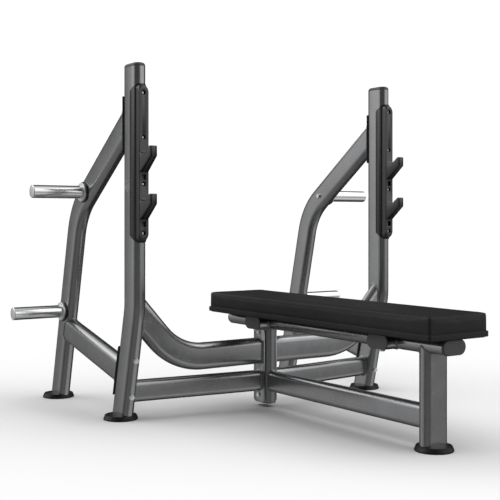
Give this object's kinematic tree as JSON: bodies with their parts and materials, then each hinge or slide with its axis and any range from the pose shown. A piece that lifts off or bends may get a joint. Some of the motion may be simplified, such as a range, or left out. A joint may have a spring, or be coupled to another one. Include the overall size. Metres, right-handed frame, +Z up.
{
  "type": "olympic bench press",
  "caption": "Fixed flat bench on a welded tube frame between two uprights with hooked bar catches, leaning rear braces, plate storage horns and round rubber feet.",
  "frame": {"origin": "on the floor, under the centre of the machine's bounding box", "axes": "+X across the bench to the right as seen from its free end, +Y along the bench from its free end to the rack, +Z up"},
  "size_m": [1.612, 1.7132, 1.2723],
  "materials": {
    "frame_paint": "satin dark grey metallic powder coat",
    "plate_paint": "satin near-black powder coat on the flange plates",
    "cap_plastic": "fine-grained dark grey moulded plastic",
    "catch_plastic": "satin black moulded nylon",
    "chrome": "bright chrome plate",
    "zinc": "bright zinc-plated fasteners",
    "rubber": "matt black rubber",
    "vinyl": "black grained vinyl upholstery over foam",
    "board": "bare plywood"
  },
  "bodies": {
    "root": {"bench_lower_tube": "frame_paint", "bench_rail": "frame_paint", "center_bolt_bottom": "zinc", "center_bolt_top": "zinc", "center_post": "frame_paint", "center_post_cap": "cap_plastic", "center_post_top_plate": "frame_paint", "front_left_arm": "frame_paint", "front_left_arm_cap": "cap_plastic", "front_leg": "frame_paint", "front_leg_foot": "rubber", "front_right_arm": "frame_paint", "front_right_arm_cap": "cap_plastic", "left_catch_strip": "catch_plastic", "left_center_flange": "frame_paint", "left_flange_bolt_bottom": "zinc", "left_flange_bolt_top": "zinc", "left_front_foot": "rubber", "left_lower_crossbar": "frame_paint", "left_lower_flange": "plate_paint", "left_lower_horn": "chrome", "left_lower_horn_collar": "chrome", "left_rear_foot": "rubber", "left_rear_leg": "frame_paint", "left_side_link": "frame_paint", "left_upper_crossbar": "frame_paint", "left_upper_flange": "plate_paint", "left_upper_horn": "chrome", "left_upper_horn_collar": "chrome", "left_upright": "frame_paint", "left_upright_cap": "cap_plastic", "pad": "vinyl", "pad_board": "board", "pad_trim": "catch_plastic", "rail_front_cap": "cap_plastic", "rail_rear_cap": "cap_plastic", "rear_left_arm": "frame_paint", "rear_left_arm_cap": "cap_plastic", "rear_right_arm": "frame_paint", "rear_right_arm_cap": "cap_plastic", "right_catch_strip": "catch_plastic", "right_center_flange": "frame_paint", "right_flange_bolt_bottom": "zinc", "right_flange_bolt_top": "zinc", "right_front_foot": "rubber", "right_lower_crossbar": "frame_paint", "right_lower_flange": "plate_paint", "right_lower_horn": "chrome", "right_lower_horn_collar": "chrome", "right_rear_foot": "rubber", "right_rear_leg": "frame_paint", "right_side_link": "frame_paint", "right_upper_crossbar": "frame_paint", "right_upper_flange": "plate_paint", "right_upper_horn": "chrome", "right_upper_horn_collar": "chrome", "right_upright": "frame_paint", "right_upright_cap": "cap_plastic"}
  },
  "joints": []
}
